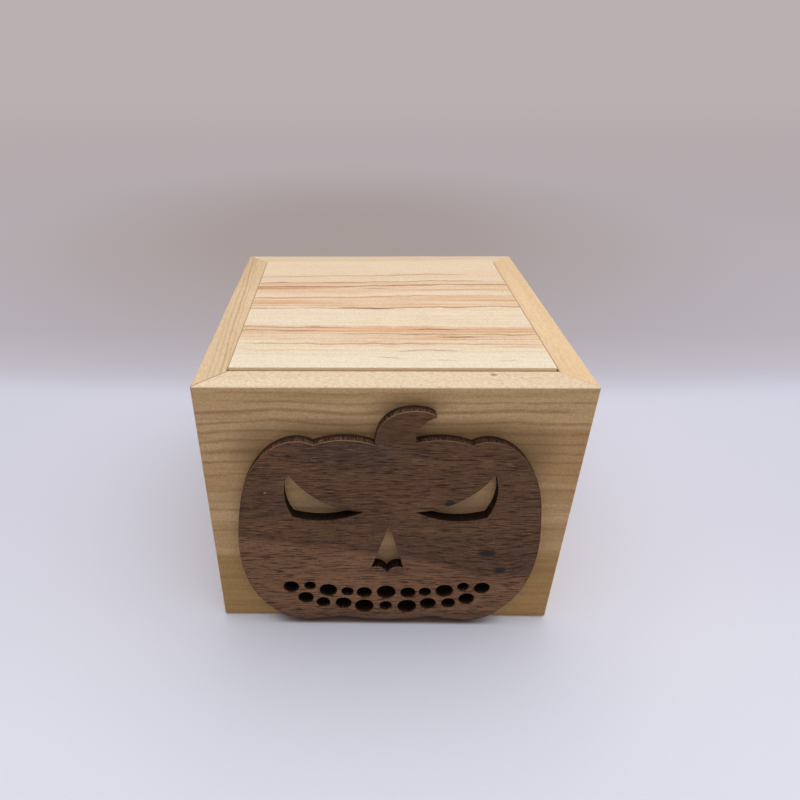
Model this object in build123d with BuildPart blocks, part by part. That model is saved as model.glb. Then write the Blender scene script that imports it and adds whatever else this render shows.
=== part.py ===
from build123d import *

import os
from math import atan, cos, pi, radians, sin, sqrt

os.makedirs("parts", exist_ok=True)

# A wooden jack in the box, in millimetres. The origin is the centre of the base, on the surface
# that the box stands on. +Z is up, -Y is the front with the pumpkin, and +X is the crank's side.

# --- driving dimensions ---------------------------------------------------------------------
box_width = 158.75  # 6 1/4 inch, the same from side to side and from front to back
box_height = 132.3
wall = 12.7  # 1/2 inch stock
edge_round = 0.9  # sanded outer edges
foot_round = 2.2  # the bottom edges are sanded rounder

panel_thick = 6.0  # plywood bottom, let into a rabbet
rabbet_depth = 5.8
panel_gap = 0.1

face_thick = 4.76  # 3/16 inch walnut
face_arris = 0.35
face_datum = 1.3  # the heights in the pumpkin's outline are measured from this one

lid_thick = 9.5
lid_proud = 1.5  # the lid stands this far above the walls
lid_left_gap = 0.35
lid_right_gap = 0.85
lid_front_gap = 0.4
lid_back_gap = 1.3
hinge_inset = 11.7  # the hinge pins' axis, in from the lid's back edge
hinge_pin_radius = 1.5
hinge_pin_length = 27.0
running_gap = 0.05  # radial clearance of everything that turns

axle_height = 62.0  # the drum and the crank turn at this height
drum_y = 0.0
gear_module = 1.0
drum_teeth = 36
pinion_teeth = 12
pressure_angle = radians(25)
tooth_addendum = 0.9
tooth_dedendum = 1.2
tooth_backlash = 0.12

crank_shaft_radius = 3.0
crank_throw = 30.0
arbor_radius = 2.0

jack_x = -10.0  # the spring stands off centre, to leave room for the movement
spring_radius = 18.0
spring_wire = 0.8
spring_turns = 12
head_radius = 32.0
head_half_height = 27.5

# --- worked out from them ---------------------------------------------------------------------
half = box_width / 2
inner = half - wall
rabbet_half = inner + rabbet_depth
panel_half = rabbet_half - panel_gap
lid_top = box_height + lid_proud
lid_bottom = lid_top - lid_thick
lid_left = -inner + lid_left_gap
lid_right = inner - lid_right_gap
lid_front = -inner + lid_front_gap
lid_back = inner - lid_back_gap
hinge_y = lid_back - hinge_inset
hinge_z = lid_top - lid_thick / 2
centre_distance = gear_module * (drum_teeth + pinion_teeth) / 2
crank_y = drum_y + centre_distance
# on the front wall, with local x to the right and y up
face_plane = Plane(origin=(0, -half, face_datum), x_dir=(1, 0, 0), z_dir=(0, -1, 0))

# a cylinder or a box stands on the point that it is placed at, or hangs from it
standing = (Align.CENTER, Align.CENTER, Align.MIN)
hanging = (Align.CENTER, Align.CENTER, Align.MAX)

# bottom screws, as (x, y)
panel_screw_row = inner + 2.6
panel_screws = [(sx * panel_screw_row, sy * 40) for sx in (-1, 1) for sy in (-1, 1)]
panel_screws += [(sx * 56, sy * panel_screw_row) for sx in (-1, 1) for sy in (-1, 1)]
panel_screw_radius = 1.5
panel_screw_tip = 18.0

# the mouth, as (distance from the middle, height, diameter) of each pair of holes
mouth_pairs = [
    (44.7, 24.6, 7.4),
    (35.85, 25.4, 5.5),
    (27.3, 22.5, 8.3),
    (18.25, 21.7, 5.85),
    (10.3, 21.1, 7.25),
    (38.1, 17.3, 7.45),
    (29.8, 14.2, 6.6),
    (20.15, 13.7, 7.65),
    (10.2, 11.7, 9.0),
]
mouth_middle = [(0, 21.45, 8.9), (0, 12.05, 6.05)]
mouth = mouth_middle + [(side * x, z, d) for x, z, d in mouth_pairs for side in (-1, 1)]

# the movement
frame_plate = 2.475
frame_wall_x = inner - frame_plate
frame_end_x = 29.0
frame_end_plate = 2.5
frame_corner = 2.0
frame_low = 36.0
frame_high = 86.0
frame_front = -37.0
frame_screws = [(y, z) for y in (-32, 29) for z in (48, 81)]
frame_screw_radius = 1.5
frame_screw_tip = 10.0
frame_screw_head_radius = 2.8
frame_screw_head = 1.6
frame_screw_slot = (1.4, 0.8, 4.4)
gear_x = 58.0
gear_width = 5.0
gear_holes = 5  # round openings that lighten the drum's gear
gear_hole_radius = 3.2
gear_hole_circle = 10.5
cam_radius = 5.5
cam_reach = 6.5
cam_nose_radius = 2.0
cam_thick = 2.4
drum_x = 34.0
drum_length = 22.0
drum_radius = 9.0
drum_pin_height = 0.9
drum_pin_foot = 0.5  # the part of a pin that is sunk in the drum
drum_pin_radius = 0.35
drum_steps = 24
notes_per_ring = 3
comb_top = axle_height
comb_seat = comb_top - 2.0
comb_x = 33.0
comb_width = 24.0
comb_tip = -10.4
comb_root = -25.0
comb_screw_places = [(comb_x + 5, -31), (comb_x + comb_width - 5, -31)]
comb_screw_radius = 1.25
comb_screw_length = 8.0
comb_hole_depth = 7.0
comb_screw_head_radius = 2.4
comb_screw_head = 1.7
comb_screw_slot = (0.7, 5.0, 1.4)

# the latch
latch_x = 26.0
latch_thick = 2.6
latch_pivot_y = -12.5
latch_pivot_z = 80.0
latch_pin_radius = 1.5
latch_hub_radius = 4.6
latch_spring_width = 1.6
pivot_head_radius = 3.0
pivot_head = 1.4
pivot_washer_radius = 2.6
pivot_washer = 0.3
pivot_gap = 0.1
catch_x = 23.5
catch_width = 8.0
catch_screw_radius = 1.2
catch_head_radius = 2.3
catch_head = 1.4

# the jack
base_disc_top = 12.0
base_disc_radius = 26.0
cap_disc_low = 46.0
cap_disc_top = 50.0
cap_disc_radius = 24.0
neck_radius = 5.0
neck_top = 74.0
hem_gap = 0.1
fold_gap = 0.3
fold_inner = 21.5
sleeve_outer = 29.5
sleeve_low = 7.0
sleeve_high = 49.0
collar_low = 50.4
collar_high = 57.0
collar_radius = 30.0
collar_gap = 0.2
collar_round = 2.5
head_centre = 85.0
stem_top = 120.5
base_screw_circle = 11.0
base_screw_radius = 1.3
base_screw_head_radius = 2.6
base_screw_head = 1.6


# --- the box ------------------------------------------------------------------------------------
with BuildPart() as foot_block:
    Box(box_width, box_width, box_height, align=standing)
    fillet(foot_block.faces().sort_by(Axis.Z)[0].edges(), foot_round)

# The four walls are cut from one sleeve at its corners' mitres, so their edges meet exactly.
with BuildPart() as carcass:
    Box(box_width, box_width, box_height, align=standing)
    fillet(carcass.edges().filter_by_position(Axis.Z, 1, box_height), edge_round)
    add(foot_block.part, mode=Mode.INTERSECT)
    with BuildSketch(Plane.XY):
        Rectangle(2 * inner, 2 * inner)
    extrude(amount=box_height, mode=Mode.SUBTRACT)
    with BuildSketch(Plane.XY):
        Rectangle(2 * rabbet_half, 2 * rabbet_half)
    extrude(amount=panel_thick, mode=Mode.SUBTRACT)
    with Locations(*[(x, y, panel_thick) for x, y in panel_screws]):
        Cylinder(panel_screw_radius, panel_screw_tip - panel_thick, align=standing, mode=Mode.SUBTRACT)


def mitre_wedge(turn):
    """Keep the quarter of the part that lies towards -Y, turned about Z by turn degrees."""
    with BuildSketch(Plane.XY.rotated((0, 0, turn))) as wedge:
        with BuildLine():
            Polyline((0, 0), (-box_width, -box_width), (box_width, -box_width), close=True)
        make_face()
    extrude(wedge.sketch, amount=box_height, mode=Mode.INTERSECT)


def hole_along_x(radius, y, z, start, length):
    """Drill a hole from x = start towards +X."""
    with BuildSketch(Plane.YZ.offset(start)) as section:
        with Locations((y, z)):
            Circle(radius)
    extrude(section.sketch, amount=length, mode=Mode.SUBTRACT)


with BuildPart() as front_wall:
    add(carcass.part)
    mitre_wedge(0)
    with BuildSketch(face_plane):
        for x, z, diameter in mouth:
            with Locations((x, z)):
                Circle(diameter / 2)
    extrude(amount=-wall, mode=Mode.SUBTRACT)
front_wall.part.label = "front_wall"
export_step(front_wall.part, "parts/front_wall.step")

with BuildPart() as back_wall:
    add(carcass.part)
    mitre_wedge(180)
back_wall.part.label = "back_wall"
export_step(back_wall.part, "parts/back_wall.step")

with BuildPart() as left_wall:
    add(carcass.part)
    mitre_wedge(-90)
    hole_along_x(hinge_pin_radius, hinge_y, hinge_z, -half, wall)
left_wall.part.label = "left_wall"
export_step(left_wall.part, "parts/left_wall.step")

bush_radius = 5.0
bush_flange_radius = 8.0
bush_flange = 1.5
bush_bore = crank_shaft_radius + running_gap

with BuildPart() as right_wall:
    add(carcass.part)
    mitre_wedge(90)
    hole_along_x(hinge_pin_radius, hinge_y, hinge_z, inner, wall)
    hole_along_x(bush_radius, crank_y, axle_height, inner, wall)
    for y, z in frame_screws:
        hole_along_x(frame_screw_radius, y, z, inner, frame_screw_tip - frame_plate)
right_wall.part.label = "right_wall"
export_step(right_wall.part, "parts/right_wall.step")

# The plywood bottom carries the jack's base, and its screws are sunk below its face.
screw_sink = 0.2
panel_head_radius = 3.0
panel_head_height = 1.6
base_screw_tip = 1.2
panel_slot = (0.8, 4.4, 0.8)

with BuildPart() as bottom_panel:
    with BuildSketch(Plane.XY):
        Rectangle(2 * panel_half, 2 * panel_half)
    extrude(amount=panel_thick)
    with Locations(*[(x, y, 0) for x, y in panel_screws]):
        Cylinder(panel_screw_radius, panel_thick, align=standing, mode=Mode.SUBTRACT)
        Cylinder(panel_head_radius, screw_sink, align=standing, mode=Mode.SUBTRACT)
    with Locations(*[(x, y, screw_sink) for x, y in panel_screws]):
        Cone(
            panel_head_radius,
            panel_screw_radius,
            panel_head_height,
            align=standing,
            mode=Mode.SUBTRACT,
        )
    with Locations((jack_x, 0, base_screw_tip)):
        with PolarLocations(base_screw_circle, 3, 90):
            Cylinder(base_screw_radius, panel_thick - base_screw_tip, align=standing, mode=Mode.SUBTRACT)
bottom_panel.part.label = "bottom_panel"
export_step(bottom_panel.part, "parts/bottom_panel.step")

with BuildPart() as bottom_screws:
    with Locations(*[(x, y, screw_sink) for x, y in panel_screws]):
        Cone(
            panel_head_radius,
            panel_screw_radius,
            panel_head_height,
            align=standing,
        )
        Cylinder(panel_screw_radius, panel_screw_tip - screw_sink, align=standing)
        Box(*panel_slot, align=standing, mode=Mode.SUBTRACT)
bottom_screws.part.label = "bottom_screws"
export_step(bottom_screws.part, "parts/bottom_screws.step")

# A strip glued inside the front wall stops the lid when it closes.
ledge_depth = 6.0
ledge_height = 6.0
ledge_gap = 0.1
ledge_half = 50.0
ledge_round = 1.0

with BuildPart() as lid_ledge:
    with BuildSketch(Plane.YZ.offset(-ledge_half)):
        with Locations((-inner + ledge_depth / 2, lid_bottom - ledge_gap - ledge_height / 2)):
            Rectangle(ledge_depth, ledge_height)
    extrude(amount=2 * ledge_half)
    fillet(lid_ledge.edges().filter_by(Axis.X).group_by(Axis.Y)[-1], ledge_round)
lid_ledge.part.label = "lid_ledge"
export_step(lid_ledge.part, "parts/lid_ledge.step")

with BuildPart() as hinge_pins:
    for start in (-half, half - hinge_pin_length):
        with BuildSketch(Plane.YZ.offset(start)):
            with Locations((hinge_y, hinge_z)):
                Circle(hinge_pin_radius)
        extrude(amount=hinge_pin_length)
hinge_pins.part.label = "hinge_pins"
export_step(hinge_pins.part, "parts/hinge_pins.step")

# --- the pumpkin -----------------------------------------------------------------------------
# The plate's outline runs anticlockwise from the stem's left foot. Its sides are mirror images.
lobe_notch = (32.1, 106.5)
bottom_notch = (20.4, 5.0)
side_points = [
    lobe_notch,
    (39.0, 108.4),
    (50.0, 103.9),
    (56.0, 97.0),
    (60.0, 89.9),
    (65.0, 70.0),
    (66.9, 51.0),
    (64.8, 30.0),
    (61.0, 19.5),
    (54.2, 10.0),
    (49.0, 5.2),
    (35.0, 3.05),
    bottom_notch,
]
stem_left = (-7.1, 106.7)
stem_right = (9.4, 107.7)
stem_tip_high = (16.7, 120.4)
stem_tip_low = (16.7, 120.1)


def mirrored(points):
    return [(-x, z) for x, z in points]


def eye(side):
    """One slanted crescent eye: a long concave brow, a full lower lid and a short outer edge."""
    top = (side * 42.8, 92.3)
    nose_end = (side * 10.9, 71.7)
    cheek = (side * 41.9, 68.7)
    with BuildLine() as outline:
        ThreePointArc(top, (side * 29.8, 77.8), nose_end)
        ThreePointArc(nose_end, (side * 27.5, 66.7), cheek)
        ThreePointArc(cheek, (side * 45.0, 80.5), top)
    make_face(outline.edges(), mode=Mode.SUBTRACT)


with BuildPart() as pumpkin_face:
    with BuildSketch(face_plane):
        with BuildLine():
            ThreePointArc(stem_left, (-20.0, 109.1), (-lobe_notch[0], lobe_notch[1]))
            Spline(*mirrored(side_points))
            ThreePointArc((-bottom_notch[0], bottom_notch[1]), (0, 2.8), bottom_notch)
            Spline(*reversed(side_points))
            ThreePointArc(lobe_notch, (20.0, 109.1), stem_right)
            ThreePointArc(stem_right, (10.5, 115.3), stem_tip_low)
            Line(stem_tip_low, stem_tip_high)
            Spline(
                stem_tip_high,
                (13.5, 122.2),
                (10.0, 122.8),
                (6.0, 122.8),
                (2.5, 122.0),
                (-0.5, 120.6),
                (-4.6, 116.4),
                (-6.7, 111.0),
                stem_left,
            )
        make_face()
        eye(-1)
        eye(1)
        with BuildLine():
            Line((0, 64.0), (7.35, 38.1))
            ThreePointArc((7.35, 38.1), (3.0, 38.4), (0.4, 35.6))
            Line((0.4, 35.6), (-0.4, 35.6))
            ThreePointArc((-0.4, 35.6), (-3.0, 38.4), (-7.35, 38.1))
            Line((-7.35, 38.1), (0, 64.0))
        make_face(mode=Mode.SUBTRACT)
        for x, z, diameter in mouth:
            with Locations((x, z)):
                Circle(diameter / 2, mode=Mode.SUBTRACT)
    extrude(amount=face_thick)
    hole_rims = pumpkin_face.faces().sort_by(Axis.Y)[0].edges().filter_by(lambda e: e.is_closed)
    chamfer(hole_rims, face_arris)
pumpkin_face.part.label = "pumpkin_face"
export_step(pumpkin_face.part, "parts/pumpkin_face.step")

# --- the lid ------------------------------------------------------------------------------------
catch_web_y = -26.0
catch_web = 2.0
catch_toe_low = 107.5
catch_toe_high = 110.0
catch_toe_end = -18.2
catch_flange = 1.6
catch_flange_front = -42.0
catch_screw_places = [(catch_x + catch_width / 2, y) for y in (-37.5, -30.5)]
catch_screw_depth = 7.0
lid_arris = 0.3
lid_bore_depth = 15.0
catch_slot = (0.6, 4.0, 1.2)

with BuildPart() as lid_panel:
    with BuildSketch(Plane.XY.offset(lid_bottom)):
        with Locations(((lid_left + lid_right) / 2, (lid_front + lid_back) / 2)):
            Rectangle(lid_right - lid_left, lid_back - lid_front)
    extrude(amount=lid_thick)
    fillet(lid_panel.faces().sort_by(Axis.Y)[0].edges().filter_by(Axis.X), lid_arris)
    for start in (lid_left, lid_right - lid_bore_depth):
        hole_along_x(hinge_pin_radius + running_gap, hinge_y, hinge_z, start, lid_bore_depth)
    with Locations(*[(x, y, lid_bottom) for x, y in catch_screw_places]):
        Cylinder(catch_screw_radius, catch_screw_depth, align=standing, mode=Mode.SUBTRACT)
lid_panel.part.label = "lid_panel"
export_step(lid_panel.part, "parts/lid_panel.step")

with BuildPart() as lid_catch:
    with BuildSketch(Plane.YZ.offset(catch_x)):
        with BuildLine():
            Polyline(
                (catch_flange_front, lid_bottom),
                (catch_flange_front, lid_bottom - catch_flange),
                (catch_web_y, lid_bottom - catch_flange),
                (catch_web_y, catch_toe_low),
                (catch_toe_end, catch_toe_low),
                (catch_toe_end, catch_toe_high),
                (catch_web_y + catch_web, catch_toe_high),
                (catch_web_y + catch_web, lid_bottom),
                close=True,
            )
        make_face()
    extrude(amount=catch_width)
    with Locations(*[(x, y, lid_bottom) for x, y in catch_screw_places]):
        Cylinder(catch_screw_radius, 2 * catch_flange, mode=Mode.SUBTRACT)
lid_catch.part.label = "lid_catch"
export_step(lid_catch.part, "parts/lid_catch.step")

with BuildPart() as catch_screws:
    with Locations(*[(x, y, lid_bottom - catch_flange) for x, y in catch_screw_places]):
        Cylinder(catch_screw_radius, catch_flange + catch_screw_depth, align=standing)
        Cylinder(catch_head_radius, catch_head, align=hanging)
    with Locations(*[(x, y, lid_bottom - catch_flange - catch_head) for x, y in catch_screw_places]):
        Box(*catch_slot, mode=Mode.SUBTRACT)
catch_screws.part.label = "catch_screws"
export_step(catch_screws.part, "parts/catch_screws.step")

# --- the crank ----------------------------------------------------------------------------------
shaft_collar_x = half + bush_flange + 0.2
shaft_collar_radius = 4.5
arm_x = shaft_collar_x + 3.0
arm_thick = 3.5
arm_width = 11.0
arm_face = arm_x + arm_thick
arm_round = 0.8
shaft_end = gear_x - 1.5
knob_x = arm_face + 1.2
knob_length = 22.0
knob_end = knob_x + knob_length
knob_z = axle_height - crank_throw
knob_socket_radius = 3.6
knob_socket = 2.2
spindle_radius = 2.0
spindle_flange_radius = 3.4
spindle_flange = 1.0
spindle_head = 1.4
spindle_head_x = knob_end - 2.0
crank_screw_radius = 1.5
crank_screw_grip = 4.0
crank_screw_head_radius = 4.4
crank_screw_head = 2.0
crank_screw_slot = (1.8, 0.9, 6.0)

with BuildPart() as crank_bush:
    with BuildSketch(Plane.YZ.offset(inner)):
        with Locations((crank_y, axle_height)):
            Circle(bush_radius)
    extrude(amount=wall)
    with BuildSketch(Plane.YZ.offset(half)):
        with Locations((crank_y, axle_height)):
            Circle(bush_flange_radius)
    extrude(amount=bush_flange)
    chamfer(crank_bush.faces().sort_by(Axis.X)[-1].edges(), 0.4)
    hole_along_x(bush_bore, crank_y, axle_height, inner, wall + bush_flange)
crank_bush.part.label = "crank_bush"
export_step(crank_bush.part, "parts/crank_bush.step")


def rod_along_x(radius, y, z, start, length):
    """A plain round bar from x = start towards +X."""
    with BuildSketch(Plane.YZ.offset(start)) as section:
        with Locations((y, z)):
            Circle(radius)
    extrude(section.sketch, amount=length)


with BuildPart() as crank_shaft:
    rod_along_x(crank_shaft_radius, crank_y, axle_height, shaft_end, arm_face - shaft_end)
    rod_along_x(shaft_collar_radius, crank_y, axle_height, shaft_collar_x, arm_x - shaft_collar_x)
    hole_along_x(
        crank_screw_radius,
        crank_y,
        axle_height,
        arm_x - crank_screw_grip,
        arm_thick + crank_screw_grip,
    )
crank_shaft.part.label = "crank_shaft"
export_step(crank_shaft.part, "parts/crank_shaft.step")

with BuildPart() as crank_arm:
    with BuildSketch(Plane.YZ.offset(arm_x)):
        with Locations((crank_y, axle_height - crank_throw / 2)):
            SlotCenterToCenter(crank_throw, arm_width, rotation=90)
    extrude(amount=arm_thick)
    fillet(crank_arm.faces().sort_by(Axis.X)[-1].edges(), arm_round)
    hole_along_x(crank_shaft_radius, crank_y, axle_height, arm_x, arm_thick)
    hole_along_x(spindle_radius, crank_y, knob_z, arm_x, arm_thick)
crank_arm.part.label = "crank_arm"
export_step(crank_arm.part, "parts/crank_arm.step")

with BuildPart() as crank_screw:
    rod_along_x(
        crank_screw_radius,
        crank_y,
        axle_height,
        arm_x - crank_screw_grip,
        arm_thick + crank_screw_grip,
    )
    rod_along_x(crank_screw_head_radius, crank_y, axle_height, arm_face, crank_screw_head)
    fillet(crank_screw.faces().sort_by(Axis.X)[-1].edges(), 0.8)
    with Locations((arm_face + crank_screw_head, crank_y, axle_height)):
        Box(*crank_screw_slot, mode=Mode.SUBTRACT)
crank_screw.part.label = "crank_screw"
export_step(crank_screw.part, "parts/crank_screw.step")

with BuildPart() as knob_spindle:
    rod_along_x(spindle_radius, crank_y, knob_z, arm_x, spindle_head_x - arm_x)
    rod_along_x(spindle_flange_radius, crank_y, knob_z, arm_face, spindle_flange)
    rod_along_x(spindle_flange_radius, crank_y, knob_z, spindle_head_x, spindle_head)
    fillet(knob_spindle.faces().sort_by(Axis.X)[-1].edges(), 0.6)
knob_spindle.part.label = "knob_spindle"
export_step(knob_spindle.part, "parts/knob_spindle.step")

# The knob is turned: a slim waist by the arm, then a full round end with a sunk spindle head.
with BuildPart() as crank_knob:
    with BuildSketch(Plane.XZ.offset(-crank_y)):
        with BuildLine():
            Line((knob_x, knob_z), (knob_x, knob_z + 6))
            ThreePointArc((knob_x, knob_z + 6), (knob_x + 5, knob_z + 4.8), (knob_x + 9, knob_z + 7.6))
            ThreePointArc((knob_x + 9, knob_z + 7.6), (knob_end - 5, knob_z + 9), (knob_end, knob_z + 5))
            Line((knob_end, knob_z + 5), (knob_end, knob_z))
            Line((knob_end, knob_z), (knob_x, knob_z))
        make_face()
    revolve(axis=Axis((knob_x, crank_y, knob_z), (1, 0, 0)))
    hole_along_x(spindle_radius + running_gap, crank_y, knob_z, knob_x, knob_length)
    hole_along_x(knob_socket_radius, crank_y, knob_z, knob_end - knob_socket, knob_socket)
crank_knob.part.label = "crank_knob"
export_step(crank_knob.part, "parts/crank_knob.step")


# --- the movement -------------------------------------------------------------------------------
def involute_angle(base, radius):
    """The polar angle that an involute has swept when it reaches a radius."""
    roll = sqrt(max((radius / base) ** 2 - 1, 0))
    return roll - atan(roll)


def gear_outline(teeth, offset_angle):
    """The closed outline of a spur gear, with tooth 0 centred at offset_angle."""
    pitch_radius = gear_module * teeth / 2
    base = pitch_radius * cos(pressure_angle)
    tip = pitch_radius + gear_module * tooth_addendum
    root = pitch_radius - gear_module * tooth_dedendum
    half_tooth = pi / (2 * teeth) - tooth_backlash / (2 * pitch_radius)
    at_pitch = involute_angle(base, pitch_radius)
    steps = 6
    first = max(base, root)
    flank = [first + (tip - first) * i / steps for i in range(steps + 1)]
    points = []
    for tooth in range(teeth):
        middle = offset_angle + 2 * pi * tooth / teeth
        rise = [(r, middle - half_tooth - at_pitch + involute_angle(base, r)) for r in flank]
        fall = [(r, 2 * middle - angle) for r, angle in reversed(rise)]
        foot = [(root, rise[0][1])] if root < base else []
        heel = [(root, fall[-1][1])] if root < base else []
        points += foot + rise + fall + heel
    return [(r * cos(angle), r * sin(angle)) for r, angle in points]


def spur_gear(teeth, offset_angle, y):
    """A gear of the movement's width, on an axis along X."""
    with BuildSketch(Plane(origin=(gear_x, y, axle_height), x_dir=(0, 1, 0), z_dir=(1, 0, 0))) as section:
        with BuildLine():
            Polyline(*gear_outline(teeth, offset_angle), close=True)
        make_face()
    extrude(section.sketch, amount=gear_width)


with BuildPart() as crank_pinion:
    spur_gear(pinion_teeth, pi / pinion_teeth, crank_y)
    hole_along_x(crank_shaft_radius, crank_y, axle_height, gear_x, gear_width)
crank_pinion.part.label = "crank_pinion"
export_step(crank_pinion.part, "parts/crank_pinion.step")

with BuildPart() as drum_gear:
    spur_gear(drum_teeth, 0, drum_y)
    hole_along_x(arbor_radius, drum_y, axle_height, gear_x, gear_width)
    for opening in range(gear_holes):
        angle = 2 * pi * (opening + 0.5) / gear_holes
        across = drum_y + gear_hole_circle * cos(angle)
        up = axle_height + gear_hole_circle * sin(angle)
        hole_along_x(gear_hole_radius, across, up, gear_x, gear_width)
drum_gear.part.label = "drum_gear"
export_step(drum_gear.part, "parts/drum_gear.step")

# The pins stand in rings, one under each tooth of the comb, at the steps of a made-up round.
comb_teeth = 18
comb_pitch = 1.27
tooth_width = 0.9
first_tooth_x = comb_x + comb_width / 2 - comb_pitch * (comb_teeth - 1) / 2

with BuildPart() as drum_cylinder:
    rod_along_x(drum_radius, drum_y, axle_height, drum_x, drum_length)
    chamfer(drum_cylinder.edges().filter_by(GeomType.CIRCLE), 0.3)
    hole_along_x(arbor_radius, drum_y, axle_height, drum_x, drum_length)
    for ring in range(1, comb_teeth - 1):
        for note in range(notes_per_ring):
            step = (ring * 5 + note * (7 + ring % 3)) % drum_steps
            angle = 2 * pi * step / drum_steps
            outward = (0, cos(angle), sin(angle))
            centre = Vector(first_tooth_x + comb_pitch * ring, drum_y, axle_height)
            foot = centre + Vector(*outward) * (drum_radius - drum_pin_foot)
            with Locations(Plane(origin=foot, x_dir=(1, 0, 0), z_dir=outward)):
                Cylinder(drum_pin_radius, drum_pin_foot + drum_pin_height, align=standing)
drum_cylinder.part.label = "drum_cylinder"
export_step(drum_cylinder.part, "parts/drum_cylinder.step")

arbor_start = latch_x - 0.8

with BuildPart() as drum_arbor:
    rod_along_x(arbor_radius, drum_y, axle_height, arbor_start, inner - 0.2 - arbor_start)
drum_arbor.part.label = "drum_arbor"
export_step(drum_arbor.part, "parts/drum_arbor.step")

# The cam trips the latch once in each turn of the drum. At rest its nose has passed the lever.
with BuildPart() as trip_cam:
    with BuildSketch(Plane(origin=(latch_x, drum_y, axle_height), x_dir=(0, 1, 0), z_dir=(1, 0, 0))):
        Circle(cam_radius)
        with Locations((cam_reach, 0)):
            Circle(cam_nose_radius)
        make_hull()
        Circle(arbor_radius, mode=Mode.SUBTRACT)
    extrude(amount=cam_thick)
trip_cam.part.label = "trip_cam"
export_step(trip_cam.part, "parts/trip_cam.step")

frame_back = 34.0
bed_back = 10.0
bed_thick = 3.0
bed_low = frame_low + 2.0
shelf_front = frame_front + 0.5
shelf_back = comb_root - 1.0
ear_y = 5.25
ear_z = 87.0
ear_width = 2.5
ear_height = 10.0
shaft_clearance = 0.3

with BuildPart() as movement_frame:
    with BuildSketch(Plane.YZ.offset(frame_wall_x)):
        with Locations(((frame_front + frame_back) / 2, (frame_low + frame_high) / 2)):
            RectangleRounded(frame_back - frame_front, frame_high - frame_low, frame_corner)
    extrude(amount=frame_plate)
    with BuildSketch(Plane.YZ.offset(frame_end_x)):
        with Locations(((frame_front + bed_back) / 2, (frame_low + frame_high) / 2)):
            RectangleRounded(bed_back - frame_front, frame_high - frame_low, frame_corner)
    extrude(amount=frame_end_plate)
    with BuildSketch(Plane.YZ.offset(frame_end_x)):
        with Locations(((frame_front + bed_back) / 2, bed_low + bed_thick / 2)):
            Rectangle(bed_back - frame_front, bed_thick)
    extrude(amount=inner - frame_end_x)
    with BuildSketch(Plane.YZ.offset(comb_x)):
        with Locations(((shelf_front + shelf_back) / 2, (bed_low + comb_seat) / 2)):
            Rectangle(shelf_back - shelf_front, comb_seat - bed_low)
    extrude(amount=comb_width)
    # the ear that the latch's leaf spring is fixed to
    with BuildSketch(Plane.YZ.offset(latch_x)):
        with Locations((ear_y, ear_z)):
            Rectangle(ear_width, ear_height)
    extrude(amount=frame_end_x + frame_end_plate - latch_x)
    hole_along_x(arbor_radius + running_gap, drum_y, axle_height, frame_end_x, inner - frame_end_x)
    hole_along_x(crank_shaft_radius + shaft_clearance, crank_y, axle_height, frame_wall_x, frame_plate)
    hole_along_x(latch_pin_radius, latch_pivot_y, latch_pivot_z, frame_end_x, frame_end_plate)
    for y, z in frame_screws:
        hole_along_x(frame_screw_radius, y, z, frame_wall_x, frame_plate)
    with Locations(*[(x, y, comb_seat) for x, y in comb_screw_places]):
        Cylinder(comb_screw_radius, comb_hole_depth, align=hanging, mode=Mode.SUBTRACT)
movement_frame.part.label = "movement_frame"
export_step(movement_frame.part, "parts/movement_frame.step")

with BuildPart() as movement_screws:
    for y, z in frame_screws:
        rod_along_x(frame_screw_radius, y, z, frame_wall_x, frame_screw_tip)
        rod_along_x(frame_screw_head_radius, y, z, frame_wall_x - frame_screw_head, frame_screw_head)
    with Locations(*[(frame_wall_x - frame_screw_head, y, z) for y, z in frame_screws]):
        Box(*frame_screw_slot, mode=Mode.SUBTRACT)
movement_screws.part.label = "movement_screws"
export_step(movement_screws.part, "parts/movement_screws.step")

# The comb's long low teeth carry weights underneath.
tooth_step = 0.8  # a tooth's top lies at the comb's top, and its underside above the root's
tooth_thick = 0.7
tooth_overlap = 0.5
weighted_teeth = 6
weight_drop = 2.6
weight_rise = 0.2  # each weight is smaller than the one before it
weight_length = 4.0
weight_setback = 3.5

with BuildPart() as comb:
    with BuildSketch(Plane.XY.offset(comb_seat)):
        with Locations((comb_x + comb_width / 2, (shelf_front + comb_root) / 2)):
            Rectangle(comb_width, comb_root - shelf_front)
    extrude(amount=comb_top - comb_seat)
    for tooth in range(comb_teeth):
        tooth_x = first_tooth_x + comb_pitch * tooth
        with BuildSketch(Plane.XY.offset(comb_top - tooth_step)):
            with Locations((tooth_x, (comb_tip + comb_root - tooth_overlap) / 2)):
                Rectangle(tooth_width, comb_tip - comb_root + tooth_overlap)
        extrude(amount=tooth_thick)
        if tooth < weighted_teeth:
            with BuildSketch(Plane.XY.offset(comb_top - weight_drop + weight_rise * tooth)):
                with Locations((tooth_x, comb_tip - weight_setback)):
                    Rectangle(tooth_width, weight_length)
            extrude(until=Until.NEXT)
    with Locations(*[(x, y, comb_top) for x, y in comb_screw_places]):
        Cylinder(comb_screw_radius, 2 * (comb_top - comb_seat), mode=Mode.SUBTRACT)
comb.part.label = "comb"
export_step(comb.part, "parts/comb.step")

with BuildPart() as comb_screws:
    with Locations(*[(x, y, comb_top) for x, y in comb_screw_places]):
        Cylinder(comb_screw_head_radius, comb_screw_head, align=standing)
        Cylinder(comb_screw_radius, comb_screw_length, align=hanging)
    with Locations(*[(x, y, comb_top + comb_screw_head) for x, y in comb_screw_places]):
        Box(*comb_screw_slot, mode=Mode.SUBTRACT)
comb_screws.part.label = "comb_screws"
export_step(comb_screws.part, "parts/comb_screws.step")

# --- the latch ----------------------------------------------------------------------------------
# The lever's nose reaches over the catch's toe. The cam pushes its tail, and the leaf spring
# brings the nose back. The part is drawn with the nose just clear of the toe.
latch_plane = Plane.YZ.offset(latch_x)

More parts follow.
